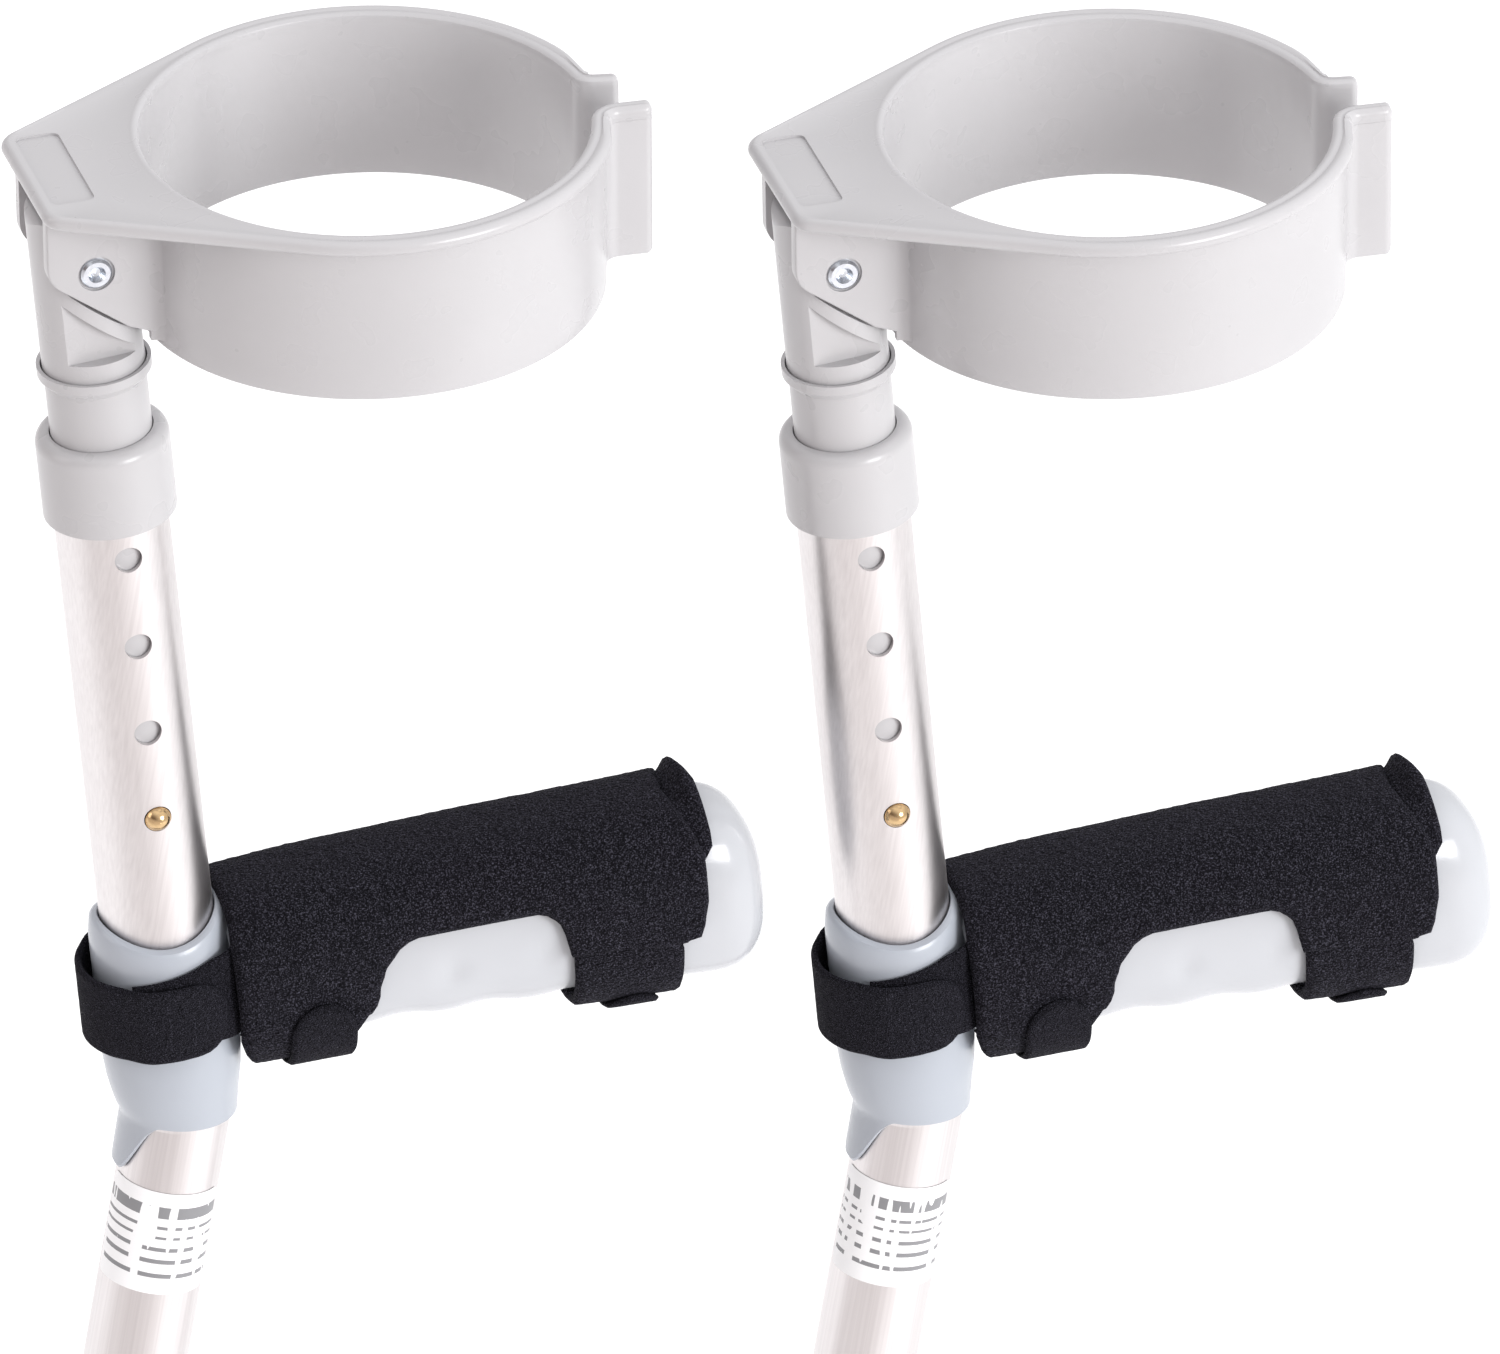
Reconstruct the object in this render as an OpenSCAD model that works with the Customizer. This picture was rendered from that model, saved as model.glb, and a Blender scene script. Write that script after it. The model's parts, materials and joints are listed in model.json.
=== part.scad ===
// A pair of forearm (elbow) crutches, double adjustable, each with a fabric cover on its hand grip.
// Units are millimetres. The origin is the middle of the left crutch's ferrule, on the floor, +Z is up,
// and the hand grips point along +X. Each crutch lies in its own XZ plane.

/* [Pair] */
// Distance between the two crutches along X
pair_spacing = 195; // [150:5:400]
// Sideways step of the right crutch
pair_step = 3; // [-20:1:20]

/* [Height] */
// Height of the bend, where the leg meets the upper tube
bend_z = 820; // [780:10:860]
// Distance between two adjustment holes, on the leg and on the upper tube
hole_pitch = 25; // [20:1:26]
// Number of adjustment holes in the leg tube
leg_holes = 10; // [6:1:10]
// Holes between the leg's lowest hole and the one in use
leg_hole_in_use = 4; // [2:1:5]

/* [Tubes] */
// Angle by which the upper tube leans back from the leg
lean = 14.8; // [12:0.2:17]
// Outer diameter of the upper tube
upper_tube_d = 28.6; // [28.4:0.1:29]
// Bore of the upper tube
upper_bore_d = 26.1; // [26.05:0.05:26.2]
// Outer diameter of the leg tube
leg_tube_d = 26; // [25.8:0.1:26]
// Bore of the leg tube
leg_bore_d = 23; // [22.9:0.1:23.2]
// Outer diameter of the leg extension
extension_d = 22.2; // [22:0.1:22.2]
// Outer diameter of the sliding post
post_d = 25.4; // [25.2:0.1:25.4]
// Diameter of the adjustment holes
hole_d = 7; // [6.8:0.1:7.4]

/* [Hand grip] */
// Length of the hand grip from the upper tube's axis
grip_reach = 154; // [140:2:164]
// Width of the hand grip
grip_w = 34; // [30:1:36]
// Height of the hand grip at the hub
grip_h = 42; // [40:1:46]
// Thickness of the fabric cover
cover_t = 4; // [3:0.5:5]

/* [Cuff] */
// Inner radius of the cuff's upper rim
cuff_r = 56; // [50:1:60]
// Height of the cuff's band
cuff_h = 45; // [40:1:48]
// Angle by which the cuff leans back from level
cuff_tilt = 10.5; // [9:0.5:12]
// Thickness of the cuff's walls
cuff_t = 3; // [2.5:0.1:3.5]

/* [Ferrule] */
// Diameter of the ferrule's foot
ferrule_d = 38; // [34:1:44]
// Height of the ferrule
ferrule_h = 52; // [44:1:60]

/* [Hidden] */
$fn = 96;
SIDES = ["left", "right"];
PIECES = [
    "cuff", "pivot_rivet", "pivot_head", "post_tube", "post_button", "post_button_spring",
    "tube_collar", "upper_tube", "handle_hub", "hub_pin", "hand_grip", "grip_cover",
    "cover_hook_tabs", "hub_strap", "leg_tube", "tube_label", "leg_collar", "leg_extension",
    "leg_button", "leg_button_spring", "ferrule", "ferrule_washer"
];

fit = 0.05;
gap = 0.3;

plastic = [0.80, 0.79, 0.79];
hub_grey = [0.62, 0.64, 0.67];
grip_grey = [0.76, 0.77, 0.79];
alloy = [0.86, 0.84, 0.83];
zinc = [0.72, 0.75, 0.80];
brass = [0.78, 0.58, 0.28];
spring_steel = [0.45, 0.45, 0.48];
black_fabric = [0.07, 0.07, 0.09];
paper = [0.96, 0.96, 0.96];
rubber_grey = [0.42, 0.42, 0.43];

// Stations along the upper tube's axis, counted from the bend
tube_foot_s = 6;
spigot_top_s = 62;
post_foot_s = 72;
button_s = 93;
collar_s = 176;
tube_top_s = 197;
collar_top_s = 199;
lip_s = 218.5;
rivet_s = 250.3;
post_holes = 4;
pin_s = 30;
pin_d = 5;

// Leg, heights above the floor
leg_foot_z = 300;
leg_button_z = leg_foot_z + hole_pitch * (leg_hole_in_use + 1);
extension_foot_z = 9.2;
extension_top_z = leg_button_z + 25;
washer_t = 1.2;
extension_wall = 1.2;

// Cuff, in its own frame: X forward from the middle of the band, Z up from the top face
plate_t = 4;
plate_back_x = -87.5;
plate_back_y = 24;
plate_corner_r = 6;
rim_w = 5.5;
band_draft = 0.5;
split_angle = -1.5;
split_half = 4;
near_lip = 13;
far_lip = 8.5;
rivet_x = -73;
rivet_z = -22;
cheek_in = 11;
cheek_out = 14.5;
cheek_angle = 37;
cheek_corner = [-4.4, 3];
cheek_corner_r = 8;
rivet_d = 5;
rivet_head_d = 8;

// Post and its head
post_bore_d = 20.4;
post_lip_d = 28.6;
socket_d = 26.6;
socket_depth = 3;
head_d = 25.8;
head_top_s = 263;
head_flat_x = 11.9;
tongue_half = cheek_in - gap;
panel_half = 9.6;
rib_angle = cheek_angle + lean - cuff_tilt;
rib_from_rivet = 9.4;
rib_w = 3.4;

// Snap buttons
button_d = 6.6;
flange_d = 9;
flange_t = 1.1;
dome_h = 2.4;

// Hub and grip, in the upper tube's frame
hub_top_s = 60;
hub_r = 17.5;
grip_foot_q = 20.5;
grip_top_s = 58.5;
grip_end_top_s = 56;
grip_end_low_s = 8;
grip_end_r = 18;
core_d = 18;
core_s = 33;
cover_from_q = 20.5;
cover_to_q = 134;
arch_from_q = 53;
arch_to_q = 106;
arch_top_s = 47;
tab_t = 1.6;
strap_low_s = 26.5;
strap_top_s = 49;
strap_t = 2;

// Frame of the upper tube: Z along its axis from the bend, X to the front
module on_upper_tube() {
    translate([0, 0, bend_z]) rotate([0, -lean, 0]) children();
}

// Frame of the cuff's top face, hung from the rivet
module on_cuff() {
    on_upper_tube() translate([0, 0, rivet_s]) rotate([0, lean - cuff_tilt, 0])
        translate([-rivet_x, 0, -rivet_z]) children();
}

// A cylinder along -Y from the axis, for the holes that face the side
module side_hole(z, d, r = 30) {
    translate([0, 0, z]) rotate([90, 0, 0]) cylinder(h = r, d = d);
}

// A cylinder right through, along Y
module cross_hole(x, z, d, half = 40) {
    translate([x, half, z]) rotate([90, 0, 0]) cylinder(h = 2 * half, d = d);
}

module tube(z0, z1, d, bore) {
    difference() {
        translate([0, 0, z0]) cylinder(h = z1 - z0, d = d);
        translate([0, 0, z0 - 1]) cylinder(h = z1 - z0 + 2, d = bore);
    }
}

// The leg tube's outside, or with a smaller d its bore: upright to the bend, then up inside the upper tube
module bent_rod(z0, s1, d) {
    translate([0, 0, z0]) cylinder(h = bend_z - z0, d = d);
    translate([0, 0, bend_z]) sphere(d = d);
    on_upper_tube() cylinder(h = s1, d = d);
}

// ---- Frame of one crutch ----

module upper_tube() color(alloy) on_upper_tube() {
    difference() {
        tube(tube_foot_s, tube_top_s, upper_tube_d, upper_bore_d);
        for (i = [0 : post_holes - 1]) side_hole(button_s + i * hole_pitch, hole_d);
        cross_hole(0, pin_s, pin_d);
    }
}

module leg_tube() color(alloy) difference() {
    bent_rod(leg_foot_z, spigot_top_s, leg_tube_d);
    bent_rod(leg_foot_z - 1, spigot_top_s + 1, leg_bore_d);
    for (i = [1 : leg_holes]) side_hole(leg_foot_z + i * hole_pitch, hole_d);
    on_upper_tube() cross_hole(0, pin_s, pin_d);
}

// A ring that ends a tube: it sleeves the tube and turns in over its end
module end_ring(z0, z1, tube_end, r, tube_r, slide_r, round_r) {
    rotate_extrude() difference() {
        union() {
            translate([0, z0]) square([r, z1 - z0 - round_r]);
            square_top = z1 - round_r;
            translate([0, square_top]) square([r - round_r, round_r]);
            translate([r - round_r, square_top]) circle(r = round_r);
        }
        translate([-1, z0 - 1]) square([1 + tube_r, tube_end - z0 + 1]);
        translate([-1, z0 - 1]) square([1 + slide_r, z1 - z0 + 2]);
    }
}

module tube_collar() color(plastic) on_upper_tube()
    end_ring(collar_s, collar_top_s, tube_top_s, 16.7, upper_tube_d / 2 + fit, post_d / 2 + gap, 3);

module leg_collar() color(plastic) translate([0, 0, leg_foot_z]) mirror([0, 0, 1])
    end_ring(-14, 2, 0, 15.5, leg_tube_d / 2 + fit, extension_d / 2 + gap, 2);

// Outline of the hub's upper half, revolved about the upper tube
module hub_upper() rotate_extrude() polygon([
    [0, 8], [hub_r, 8], [hub_r, 54], [hub_r - 0.6, 57], [hub_r - 2, hub_top_s], [0, hub_top_s]
]);

// Outline of the hub's bell, revolved about the leg
module hub_bell() rotate_extrude() polygon([
    [0, 1.5], [14.8, 1.5], [15.4, 5], [16.5, 10], [hub_r, 16], [0, 16]
]);

// The tongue that runs down the back of the leg
module hub_tongue() intersection() {
    translate([0, 0, -16]) cylinder(h = 20, r = 14.8);
    rotate([90, 0, 90]) translate([0, 0, -30]) linear_extrude(26)
        polygon([[-12, 4], [-9, -6], [-4, -14], [-2, -15.5], [2, -15.5], [4, -14], [9, -6], [12, 4]]);
}

module handle_hub() color(hub_grey) difference() {
    union() {
        on_upper_tube() hub_upper();
        translate([0, 0, bend_z]) hub_bell();
        translate([0, 0, bend_z]) hub_tongue();
        on_upper_tube() translate([0, 0, core_s]) rotate([0, 90, 0]) cylinder(h = 136, d = core_d);
    }
    bent_rod(bend_z - 60, 20, leg_tube_d + 2 * fit);
    on_upper_tube() {
        translate([0, 0, tube_foot_s - 1]) cylinder(h = 80, d = upper_tube_d + 2 * fit);
        cross_hole(0, pin_s, pin_d, hub_r - 0.8);
    }
}

// Tubular pin that holds the hub and both tubes together, under the strap
module hub_pin() color(zinc) on_upper_tube() difference() {
    cross_hole(0, pin_s, pin_d - 2 * fit, hub_r - 1.3);
    cross_hole(0, pin_s, 2.4);
}

// The grip's outside, grown by t: two rods at the hub, two balls at its far end
module grip_form(t, from_q) {
    r = grip_w / 2;
    end_q = grip_reach - grip_end_r;
    hull() {
        for (s = [grip_top_s - r, grip_top_s - grip_h + r])
            translate([from_q, 0, s]) rotate([0, 90, 0]) cylinder(h = 1, r = r + t, $fn = 40);
        for (s = [grip_end_top_s - grip_end_r, grip_end_low_s + grip_end_r])
            translate([end_q, 0, s]) sphere(r = grip_end_r + t, $fn = 40);
    }
}

module hand_grip() color(grip_grey) on_upper_tube() difference() {
    grip_form(0, grip_foot_q);
    translate([grip_foot_q - 1, 0, core_s]) rotate([0, 90, 0]) cylinder(h = 118, d = core_d + 2 * fit);
}

module grip_cover() color(black_fabric) on_upper_tube() difference() {
    intersection() {
        grip_form(cover_t, cover_from_q);
        translate([cover_from_q, -50, -50]) cube([cover_to_q - cover_from_q, 100, 150]);
    }
    grip_form(gap, cover_from_q - 1);
    translate([arch_from_q, -50, -50]) cube([arch_to_q - arch_from_q, 100, 50 + arch_top_s]);
}

// Two rounded hook-and-loop tabs that close the cover, lying on it on the near side
module cover_hook_tabs() color(black_fabric) on_upper_tube() intersection() {
    difference() {
        grip_form(cover_t + gap + tab_t, cover_from_q);
        grip_form(cover_t + gap, cover_from_q - 1);
    }
    for (tab = [[24, 44, 15, 13], [110, 124, 8, 8]])
        rotate([90, 0, 0]) linear_extrude(40) {
            translate([tab[0], tab[2] - tab[3] / 2]) square([tab[1] - tab[0], tab[3]]);
            translate([tab[1], tab[2]]) circle(d = tab[3]);
        }
}

module hub_strap() color(black_fabric) on_upper_tube() difference() {
    tube(strap_low_s, strap_top_s, 2 * (hub_r + gap + strap_t), 2 * (hub_r + gap));
    translate([14, -50, 0]) cube([50, 100, 60]);
}

module tube_label() color(paper) translate([0, 0, bend_z - 46]) intersection() {
    tube(0, 28.5, leg_tube_d + 0.5, leg_tube_d + 2 * fit);
    rotate([0, 0, -20]) translate([-40, -40, 0]) cube([80, 36, 28.5]);
}

// ---- Cuff and its pivot ----

function arc_point(c, r, a) = [c[0] + r * cos(a), c[1] + r * sin(a)];
function arc(c, r, a0, a1) = [for (i = [0 : 8]) arc_point(c, r, a0 + i * (a1 - a0) / 8)];
function mirrored(p) = [for (i = [len(p) - 1 : -1 : 0]) [p[i][0], -p[i][1]]];

// The top plate seen from above: a ring that draws out to a blunt back
module plate_outline(rim) {
    corner = [plate_back_x + plate_corner_r, plate_back_y - plate_corner_r];
    tangent = atan2(corner[1], corner[0]) - acos((rim - plate_corner_r) / norm(corner));
    half = concat(arc(corner, plate_corner_r, 180, tangent), [arc_point([0, 0], rim - 0.2, tangent)]);
    circle(r = rim);
    polygon(concat(half, mirrored(half)));
}

// A cheek's outline in the cuff's XZ plane, the rivet at the origin
module cheek_outline() {
    touch = cheek_corner - cheek_corner_r * [sin(cheek_angle), cos(cheek_angle)];
    back = cheek_corner[0] - cheek_corner_r;
    front = 24;
    nose = touch + 21.5 * [cos(cheek_angle), -sin(cheek_angle)];
    polygon([
        [back, -rivet_z - plate_t], [back, cheek_corner[1]], touch, nose, [front, -rivet_z - cuff_h],
        [front, -rivet_z - plate_t]
    ]);
    translate(cheek_corner) circle(r = cheek_corner_r);
}

module cuff_body() {
    bottom_r = cuff_r - band_draft;
    rotate_extrude() polygon([
        [bottom_r, -cuff_h], [bottom_r + cuff_t, -cuff_h], [cuff_r + cuff_t + 0.5, -plate_t],
        [cuff_r + rim_w, -plate_t], [cuff_r + rim_w, 0], [cuff_r, 0]
    ]);
    difference() {
        translate([0, 0, -plate_t]) linear_extrude(plate_t) plate_outline(cuff_r + rim_w);
        translate([0, 0, -plate_t - 1]) cylinder(h = plate_t + 2, r = cuff_r + 1);
    }
    for (y = [-cheek_in, cheek_out]) translate([rivet_x, y, rivet_z])
        rotate([90, 0, 0]) linear_extrude(cheek_out - cheek_in) cheek_outline();
}

// One outward lip beside the split, m = -1 on the near side
module split_lip(m, reach) rotate([0, 0, split_angle + m * (split_half + 1.6)])
    translate([0, 0, -cuff_h]) linear_extrude(cuff_h - 1) {
        translate([cuff_r - band_draft + 0.5, -1.5]) square([reach + band_draft, 3]);
        translate([cuff_r + 0.5 + reach, 0]) circle(d = 3);
    }

module cuff() color(plastic) on_cuff() difference() {
    union() {
        difference() {
            cuff_body();
            rotate([0, 0, split_angle]) translate([0, 0, -cuff_h - 1]) linear_extrude(cuff_h + 2)
                polygon([
                    [0, 0], 100 * [cos(split_half), -sin(split_half)], 100 * [cos(split_half), sin(split_half)]
                ]);
        }
        split_lip(-1, near_lip);
        split_lip(1, far_lip);
    }
    translate([0, 0, -cuff_h - 1]) cylinder(h = cuff_h + 2, r1 = cuff_r - band_draft, r2 = cuff_r);
    translate([0, 0, -cuff_h - 20]) cylinder(h = 20, r = 90);
    cross_hole(rivet_x, rivet_z, rivet_d);
    for (m = [-1, 1]) translate([0, m * (cheek_out + 9.2), 0]) cross_hole(rivet_x, rivet_z, 9.4, 10);
}

// Tubular rivet with a rolled head on each side, dished in the middle
module pivot_rivet() color(zinc) on_cuff() translate([rivet_x, 0, rivet_z]) rotate([90, 0, 0])
    for (m = [0, 1]) mirror([0, 0, m]) rotate_extrude() polygon([
        [0, 0], [rivet_d / 2 - fit, 0], [rivet_d / 2 - fit, cheek_out - 0.8],
        [rivet_head_d / 2, cheek_out - 0.8], [rivet_head_d / 2, cheek_out - 0.1],
        [rivet_head_d / 2 - 0.6, cheek_out + 0.5], [2.2, cheek_out + 0.5], [1.2, cheek_out - 1], [0, cheek_out - 1.2]
    ]);

// Outline of the head in its XZ plane, the rivet at the origin
module head_outline() {
    top = head_top_s - rivet_s;
    corner_r = 3;
    r = head_d / 2;
    translate([-r, -60]) square([2 * r, 60 + top - corner_r]);
    translate([-r + corner_r, 0]) square([2 * (r - corner_r), top]);
    for (m = [-1, 1]) translate([m * (r - corner_r), top - corner_r]) circle(r = corner_r);
}

// Everything above the slanting rib's upper edge, in the same plane
module above_rib(drop) rotate([0, 0, -rib_angle]) translate([-60, -rib_from_rivet - drop]) square([120, 120]);

module pivot_head() color(plastic) on_upper_tube() difference() {
    union() {
        intersection() {
            translate([0, 0, lip_s - socket_depth + 0.2]) cylinder(h = 80, d = head_d);
            translate([0, 30, rivet_s]) rotate([90, 0, 0]) linear_extrude(60) head_outline();
        }
        translate([0, 0, lip_s - 22]) cylinder(h = 24, d = post_bore_d - 2 * fit);
    }
    for (m = [0, 1]) mirror([0, m, 0]) {
        translate([0, 30, rivet_s]) rotate([90, 0, 0]) linear_extrude(30 - tongue_half)
            intersection() {
                above_rib(0);
                translate([-40, -30]) square([80, 90]);
            }
        translate([0, 30, rivet_s]) rotate([90, 0, 0]) linear_extrude(30 - panel_half)
            difference() {
                translate([-10, 5 + lip_s - rivet_s]) square([30, 40]);
                above_rib(rib_w);
            }
    }
    // Flat in front, clear of the cuff's band, and stepped back at the top where the band swings over it
    translate([head_flat_x, -20, lip_s + 1]) cube([10, 40, 60]);
    translate([head_flat_x - 2.1, -20, rivet_s + 4]) cube([10, 40, 30]);
    cross_hole(0, rivet_s, rivet_d);
}

module post_tube() color(plastic) on_upper_tube() difference() {
    union() {
        translate([0, 0, post_foot_s]) cylinder(h = lip_s - post_foot_s, d = post_d);
        translate([0, 0, lip_s - 4.5]) cylinder(h = 2, d1 = post_d, d2 = post_lip_d);
        translate([0, 0, lip_s - 2.5]) cylinder(h = 2.5, d = post_lip_d);
    }
    translate([0, 0, post_foot_s - 1]) cylinder(h = 200, d = post_bore_d);
    translate([0, 0, lip_s - socket_depth]) cylinder(h = 10, d = socket_d);
    side_hole(button_s, hole_d);
}

// ---- Snap buttons: a domed stud behind a hole, on a leaf that springs it outwards ----

module snap_button(flange_y, face_y) rotate([90, 0, 0]) rotate_extrude() {
    translate([0, flange_y]) square([flange_d / 2, flange_t]);
    translate([0, flange_y]) square([button_d / 2, face_y - flange_y - dome_h]);
    intersection() {
        translate([0, face_y - button_d / 2]) circle(d = button_d);
        translate([0, face_y - dome_h]) square([button_d, dome_h]);
    }
    translate([0, face_y - dome_h - 0.01]) square([sqrt(pow(button_d / 2, 2) - pow(button_d / 2 - dome_h, 2)), 0.02]);
}

// A U of spring strip seen from the side: near leg at -y0 behind the button, far leg at y1
module spring_leaf(y0, y1, drop, rise) {
    t = 0.6;
    w = 7;
    bend_r = (y0 + y1) / 2;
    mid = (y1 - y0) / 2;
    translate([-w / 2, 0, 0]) rotate([90, 0, 90]) linear_extrude(w) {
        translate([-y0, -drop]) square([t, drop + rise]);
        translate([y1 - t, -drop]) square([t, drop + rise]);
        translate([mid, -drop]) difference() {
            circle(r = bend_r);
            circle(r = bend_r - t);
            translate([-50, 0]) square([100, 50]);
        }
    }
}

module post_button() color(brass) on_upper_tube() translate([0, 0, button_s]) snap_button(7.5, 16.7);

module post_button_spring() color(spring_steel) on_upper_tube() translate([0, 0, button_s])
    spring_leaf(7.45, 9.2, 12, 6);

module leg_button() color(brass) translate([0, 0, leg_button_z]) snap_button(7.2, 15.3);

module leg_button_spring() color(spring_steel) translate([0, 0, leg_button_z])
    spring_leaf(7.15, 8.9, 30, 6);

// ---- Leg extension and ferrule ----

module leg_extension() color(alloy) difference() {
    tube(extension_foot_z, extension_top_z, extension_d, extension_d - 2 * extension_wall);
    side_hole(leg_button_z, hole_d);
}

// Rubber foot: two ribs above a wide sole, with a socket for the extension
module ferrule() color(rubber_grey) rotate_extrude() polygon([
    [0, 0], [ferrule_d / 2 - 2, 0], [ferrule_d / 2, 2], [ferrule_d / 2, 5], [ferrule_d / 2 - 2.2, 9],
    [ferrule_d / 2 - 3.6, 14], [ferrule_d / 2 - 2.8, 16], [ferrule_d / 2 - 2.8, 18], [ferrule_d / 2 - 4, 20],
    [ferrule_d / 2 - 4.6, 26], [ferrule_d / 2 - 3.9, 28], [ferrule_d / 2 - 3.9, 30], [ferrule_d / 2 - 5, 32],
    [ferrule_d / 2 - 5.4, ferrule_h - 3], [ferrule_d / 2 - 6.4, ferrule_h], [extension_d / 2 + fit, ferrule_h],
    [extension_d / 2 + fit, extension_foot_z - washer_t], [0, extension_foot_z - washer_t]
]);

module ferrule_washer() color(zinc)
    translate([0, 0, extension_foot_z - washer_t]) cylinder(h = washer_t, d = extension_d - 0.4);

for (i = [0, 1]) translate(i * [pair_spacing, pair_step, 0]) {
    side = SIDES[i];
    cuff();
    pivot_rivet();
    pivot_head();
    post_tube();
    post_button();
    post_button_spring();
    tube_collar();
    upper_tube();
    handle_hub();
    hub_pin();
    hand_grip();
    grip_cover();
    cover_hook_tabs();
    hub_strap();
    leg_tube();
    tube_label();
    leg_collar();
    leg_extension();
    leg_button();
    leg_button_spring();
    ferrule();
    ferrule_washer();
}
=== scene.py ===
import bisect
import json
import math

import bmesh
import bpy
import numpy as np
from mathutils import Matrix, Vector, geometry, noise


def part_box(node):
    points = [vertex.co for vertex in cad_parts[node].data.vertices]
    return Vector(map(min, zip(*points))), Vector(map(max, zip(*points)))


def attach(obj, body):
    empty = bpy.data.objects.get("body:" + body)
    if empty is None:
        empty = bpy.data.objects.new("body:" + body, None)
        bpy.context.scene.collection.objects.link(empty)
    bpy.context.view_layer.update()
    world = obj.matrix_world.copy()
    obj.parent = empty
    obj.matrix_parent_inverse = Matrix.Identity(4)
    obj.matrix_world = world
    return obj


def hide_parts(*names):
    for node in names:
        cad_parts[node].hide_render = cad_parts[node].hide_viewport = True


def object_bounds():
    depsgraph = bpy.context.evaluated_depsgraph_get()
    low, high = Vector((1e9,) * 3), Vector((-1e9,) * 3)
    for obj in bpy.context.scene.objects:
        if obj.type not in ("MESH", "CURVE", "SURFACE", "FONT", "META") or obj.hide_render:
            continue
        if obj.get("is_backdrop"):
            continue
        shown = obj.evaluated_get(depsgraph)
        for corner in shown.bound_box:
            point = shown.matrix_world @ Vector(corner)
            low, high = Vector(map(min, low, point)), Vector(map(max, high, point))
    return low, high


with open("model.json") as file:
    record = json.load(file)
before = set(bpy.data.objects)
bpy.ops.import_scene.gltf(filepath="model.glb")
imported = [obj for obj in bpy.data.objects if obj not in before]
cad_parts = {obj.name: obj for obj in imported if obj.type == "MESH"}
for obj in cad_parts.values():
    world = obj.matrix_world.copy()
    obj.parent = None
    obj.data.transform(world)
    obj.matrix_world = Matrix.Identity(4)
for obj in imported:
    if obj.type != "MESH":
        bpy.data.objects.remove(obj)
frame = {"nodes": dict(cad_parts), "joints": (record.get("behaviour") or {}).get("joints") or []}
cad_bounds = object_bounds()

MM = 0.001
SIDES = ("left", "right")
LEAN_TO_CUFF = math.radians(10.5)
RIVET_X = -73
RIVET_Z = -22
scene = bpy.context.scene
scene.view_settings.view_transform = "Standard"
joints = {j["name"]: j for j in frame["joints"]}


# ---- Frames: each crutch's leg, upper tube and cuff, with millimetres as their units ----


def from_columns(*columns):
    """A matrix with three axes and an origin as its columns."""
    m = Matrix.Identity(4)
    for i, column in enumerate(columns):
        for j in range(3):
            m[j][i] = column[j]
    return m


def axes(x_axis, z_axis, origin):
    """A matrix that takes millimetres along x, y, z of a tilted frame to metres in the scene."""
    return from_columns(x_axis, z_axis.cross(x_axis), z_axis, origin) @ Matrix.Scale(MM, 4)


def frames(side):
    """The frames of a crutch's upper tube, leg and cuff. The first two start where the tube bends."""
    low, high = (Vector(v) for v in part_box(side + "_ferrule"))
    foot = (low + high) / 2
    u = Vector(joints[side + "_post_slide"]["axis"]).normalized()
    rivet = Vector(joints[side + "_cuff_pivot"]["pos_m"])
    bend = rivet - u * ((rivet.x - foot.x) / u.x)
    tube = axes(Vector((u.z, 0, -u.x)), u, bend)
    leg = axes(Vector((1, 0, 0)), Vector((0, 0, 1)), bend)
    cuff_z = Vector((-math.sin(LEAN_TO_CUFF), 0, math.cos(LEAN_TO_CUFF)))
    cuff_x = Vector((cuff_z.z, 0, -cuff_z.x))
    cuff = axes(cuff_x, cuff_z, rivet - (cuff_x * RIVET_X + cuff_z * RIVET_Z) * MM)
    return tube, leg, cuff


FRAMES = {side: frames(side) for side in SIDES}
bend = FRAMES["left"][1].translation

# ---- Camera, light and floor ----

right = Vector((0.94455, -0.28747, 0.15993))
up = Vector((-0.00418, 0.47553, 0.87969))
back = right.cross(up)
camera_data = bpy.data.cameras.new("camera")
camera_data.lens = 769.9
camera_data.sensor_width = 36
camera_data.clip_end = 100
camera = bpy.data.objects.new("camera", camera_data)
camera.matrix_world = from_columns(right, up, back, bend + Vector((-2.4974, -6.6424, 3.701)))
scene.collection.objects.link(camera)
scene.camera = camera


def area_light(name, place, target, size, power, colour=(1, 1, 1)):
    data = bpy.data.lights.new(name, "AREA")
    data.shape = "RECTANGLE"
    data.size, data.size_y = size
    data.energy = power
    data.color = colour
    light = bpy.data.objects.new(name, data)
    light.location = place
    light.rotation_euler = (Vector(target) - Vector(place)).to_track_quat("-Z", "Y").to_euler()
    scene.collection.objects.link(light)


area_light("key", (1.9, -3.7, 2.4), (0.1, 0, 0.95), (1.8, 1.8), 140)
area_light("fill", (-3.5, 0.3, 1.8), (0.1, 0, 0.95), (1.4, 2.2), 22, (1.0, 0.97, 0.96))

world = bpy.data.worlds.new("studio")
world.use_nodes = True
scene.world = world
wn = world.node_tree.nodes
wl = world.node_tree.links


def dot_with(direction):
    """How far the view direction points along another one."""
    dot = wn.new("ShaderNodeVectorMath")
    dot.operation = "DOT_PRODUCT"
    dot.inputs[1].default_value = direction
    wl.new(coords.outputs["Generated"], dot.inputs[0])
    return dot.outputs["Value"]


def colour_ramp(value, low, high, stops):
    """Colours by value, from stops between low and high."""
    spread = wn.new("ShaderNodeMapRange")
    spread.inputs["From Min"].default_value = low
    spread.inputs["From Max"].default_value = high
    ramp = wn.new("ShaderNodeValToRGB")
    while len(ramp.color_ramp.elements) < len(stops):
        ramp.color_ramp.elements.new(0.5)
    for element, (at, colour) in zip(ramp.color_ramp.elements, stops):
        element.position = (at - low) / (high - low)
        element.color = (*colour, 1)
    wl.new(value, spread.inputs["Value"])
    wl.new(spread.outputs["Result"], ramp.inputs["Fac"])
    return ramp.outputs["Color"]


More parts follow.
